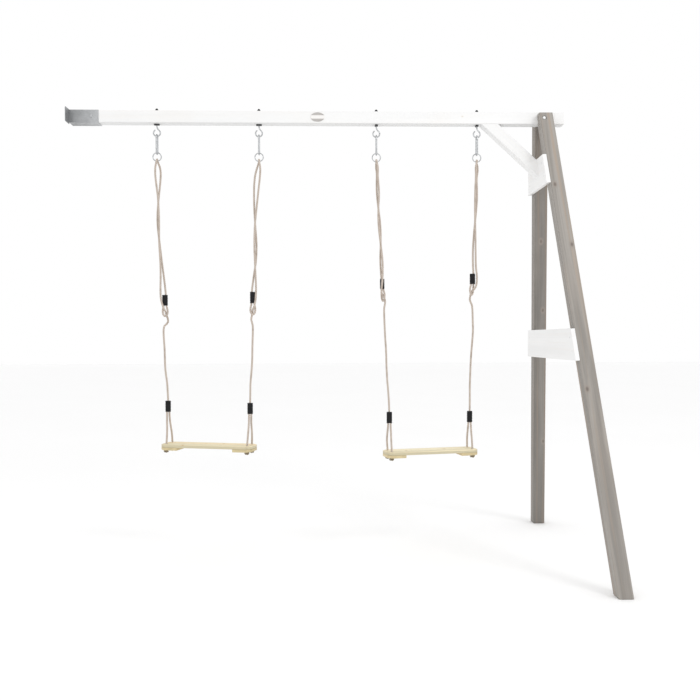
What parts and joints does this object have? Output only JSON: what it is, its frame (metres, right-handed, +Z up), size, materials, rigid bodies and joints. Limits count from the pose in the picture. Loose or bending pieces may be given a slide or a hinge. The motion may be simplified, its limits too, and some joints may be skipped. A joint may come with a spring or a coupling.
{
  "type": "swing set",
  "caption": "Timber swing set: square beam held by a steel shoe at one end and an A-frame with cross boards at the other, with adjustable rope swings on ringed hooks.",
  "frame": {"origin": "on the shoe's back face, which bears on the tower, at the beam's axis", "axes": "+X along the beam away from the tower, -Y towards the front, +Z up"},
  "size_m": [2.4358, 1.3888, 2.1459],
  "materials": {
    "white_timber": "planed timber painted white, faint grain",
    "grey_timber": "planed timber stained warm grey, knots and grain showing",
    "seat_pine": "sanded pale pine",
    "galvanised_plate": "hot-dip galvanised sheet steel, dull",
    "zinc_wire": "zinc-plated steel wire",
    "zinc_bolt": "bright zinc plating",
    "zinc_screw": "zinc-plated screw",
    "dark_fitting": "black painted steel",
    "pale_badge": "plain moulded plate",
    "rope": "laid synthetic rope, beige grey",
    "black_sleeve": "shrunk plastic sleeve, satin black"
  },
  "bodies": {
    "root": {"beam": "white_timber", "front_leg": "grey_timber", "rear_leg": "grey_timber", "upper_cross_board": "white_timber", "lower_cross_board": "white_timber", "corner_brace": "white_timber", "beam_shoe": "galvanised_plate", "shoe_screws": "zinc_screw", "leg_bolt": "zinc_bolt", "leg_bolt_nut": "zinc_bolt", "leg_bolt_washers": "zinc_bolt", "frame_screws": "zinc_screw", "oval_badge": "pale_badge", "swing_hook_1": "zinc_wire", "swing_hook_2": "zinc_wire", "swing_hook_3": "zinc_wire", "swing_hook_4": "zinc_wire", "hook_cap_nuts": "dark_fitting", "hook_washers": "zinc_bolt", "hook_flanges": "dark_fitting"},
    "swing_1_snap_hooks": {"swing_1_left_snap_hook": "zinc_wire", "swing_1_right_snap_hook": "zinc_wire", "swing_1_gate_pins": "zinc_bolt"},
    "swing_1_left_gate": {"swing_1_left_snap_gate": "zinc_wire"},
    "swing_1_right_gate": {"swing_1_right_snap_gate": "zinc_wire"},
    "swing_1_ropes": {"swing_1_left_ring": "zinc_wire", "swing_1_right_ring": "zinc_wire", "swing_1_left_rope": "rope", "swing_1_right_rope": "rope", "swing_1_left_upper_sleeve": "black_sleeve", "swing_1_right_upper_sleeve": "black_sleeve"},
    "swing_1_seat": {"swing_1_seat_board": "seat_pine", "swing_1_seat_cleats": "seat_pine", "swing_1_seat_screws": "zinc_screw", "swing_1_knots": "rope", "swing_1_left_seat_rope": "rope", "swing_1_right_seat_rope": "rope", "swing_1_left_lower_sleeve": "black_sleeve", "swing_1_right_lower_sleeve": "black_sleeve"},
    "swing_2_snap_hooks": {"swing_2_left_snap_hook": "zinc_wire", "swing_2_right_snap_hook": "zinc_wire", "swing_2_gate_pins": "zinc_bolt"},
    "swing_2_left_gate": {"swing_2_left_snap_gate": "zinc_wire"},
    "swing_2_right_gate": {"swing_2_right_snap_gate": "zinc_wire"},
    "swing_2_ropes": {"swing_2_left_ring": "zinc_wire", "swing_2_right_ring": "zinc_wire", "swing_2_left_rope": "rope", "swing_2_right_rope": "rope", "swing_2_left_upper_sleeve": "black_sleeve", "swing_2_right_upper_sleeve": "black_sleeve"},
    "swing_2_seat": {"swing_2_seat_board": "seat_pine", "swing_2_seat_cleats": "seat_pine", "swing_2_seat_screws": "zinc_screw", "swing_2_knots": "rope", "swing_2_left_seat_rope": "rope", "swing_2_right_seat_rope": "rope", "swing_2_left_lower_sleeve": "black_sleeve", "swing_2_right_lower_sleeve": "black_sleeve"}
  },
  "joints": [
    {"name": "swing_1_hooks_swing", "type": "hinge", "parent": "root", "child": "swing_1_snap_hooks", "pos_m": [0.647, 0, -0.0875], "axis": [1, 0, 0], "range_deg": [-60, 60]},
    {"name": "swing_1_ropes_swing", "type": "hinge", "parent": "swing_1_snap_hooks", "child": "swing_1_ropes", "pos_m": [0.647, 0, -0.16535], "axis": [1, 0, 0], "range_deg": [-20, 20]},
    {"name": "swing_1_seat_tilt", "type": "hinge", "parent": "swing_1_ropes", "child": "swing_1_seat", "pos_m": [0.643, -0.0005, -1.353], "axis": [0.9784, -0.2064, -0.0146], "range_deg": [-15, 15]},
    {"name": "swing_1_left_gate_open", "type": "hinge", "parent": "swing_1_snap_hooks", "child": "swing_1_left_gate", "pos_m": [0.405, -0.016, -0.1499], "axis": [-1, 0, 0], "range_deg": [0, 22], "stiffness_Nm_per_rad": 0.06, "springref_deg": -8.59},
    {"name": "swing_1_right_gate_open", "type": "hinge", "parent": "swing_1_snap_hooks", "child": "swing_1_right_gate", "pos_m": [0.889, -0.016, -0.1499], "axis": [-1, 0, 0], "range_deg": [0, 22], "stiffness_Nm_per_rad": 0.06, "springref_deg": -8.59},
    {"name": "swing_2_hooks_swing", "type": "hinge", "parent": "root", "child": "swing_2_snap_hooks", "pos_m": [1.692, 0, -0.0875], "axis": [1, 0, 0], "range_deg": [-60, 60]},
    {"name": "swing_2_ropes_swing", "type": "hinge", "parent": "swing_2_snap_hooks", "child": "swing_2_ropes", "pos_m": [1.692, 0, -0.16535], "axis": [1, 0, 0], "range_deg": [-20, 20]},
    {"name": "swing_2_seat_tilt", "type": "hinge", "parent": "swing_2_ropes", "child": "swing_2_seat", "pos_m": [1.70575, 0.00025, -1.4055], "axis": [0.9812, 0.1928, -0.0123], "range_deg": [-15, 15]},
    {"name": "swing_2_left_gate_open", "type": "hinge", "parent": "swing_2_snap_hooks", "child": "swing_2_left_gate", "pos_m": [1.45, -0.016, -0.1499], "axis": [-1, 0, 0], "range_deg": [0, 22], "stiffness_Nm_per_rad": 0.06, "springref_deg": -8.59},
    {"name": "swing_2_right_gate_open", "type": "hinge", "parent": "swing_2_snap_hooks", "child": "swing_2_right_gate", "pos_m": [1.934, -0.016, -0.1499], "axis": [-1, 0, 0], "range_deg": [0, 22], "stiffness_Nm_per_rad": 0.06, "springref_deg": -8.59}
  ]
}
